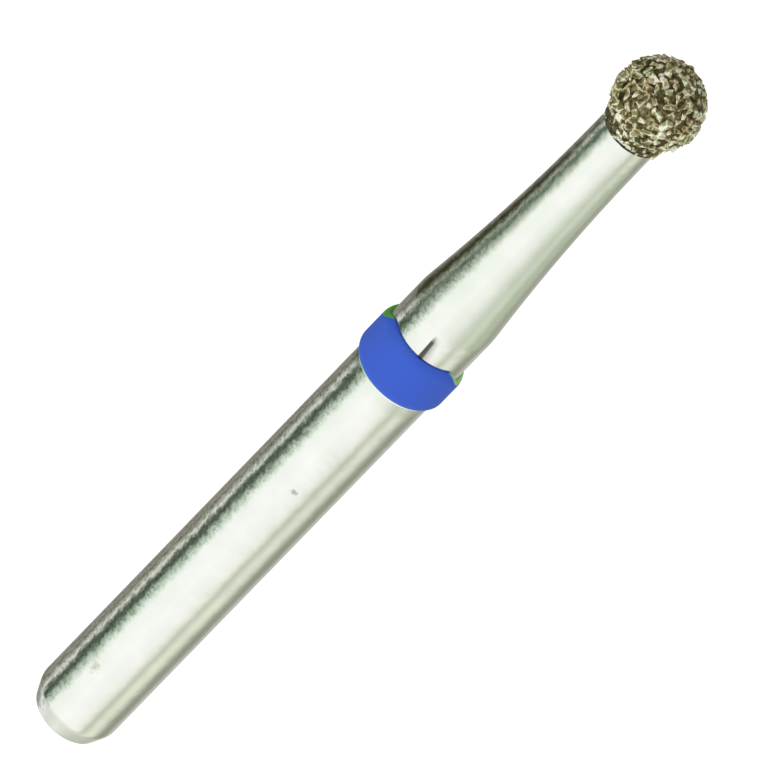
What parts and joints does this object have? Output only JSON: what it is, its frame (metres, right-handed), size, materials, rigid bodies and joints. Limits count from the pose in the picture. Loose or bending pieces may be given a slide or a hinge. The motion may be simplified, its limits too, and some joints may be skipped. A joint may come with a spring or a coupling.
{
  "type": "dental bur",
  "caption": "Round diamond-coated dental bur on a plain friction-grip shank, with a hollow tapered neck and a blue colour ring that marks its grit.",
  "frame": {"origin": "centre of the flat end of the shank", "axes": "+Z along the bur's own axis, from the shank end to the head; +X and +Y are any two directions square to it, since the part is round"},
  "size_m": [0.0018, 0.0018, 0.019],
  "materials": {
    "stainless_steel": "ground and polished",
    "blue_lacquer": "glossy baked lacquer",
    "nickel_plating": "dull electroplated nickel",
    "diamond": "blocky crystals with bright facets"
  },
  "bodies": {
    "root": {"steel_blank": "stainless_steel", "colour_ring": "blue_lacquer", "nickel_bond": "nickel_plating", "diamond_grit": "diamond"}
  },
  "joints": []
}
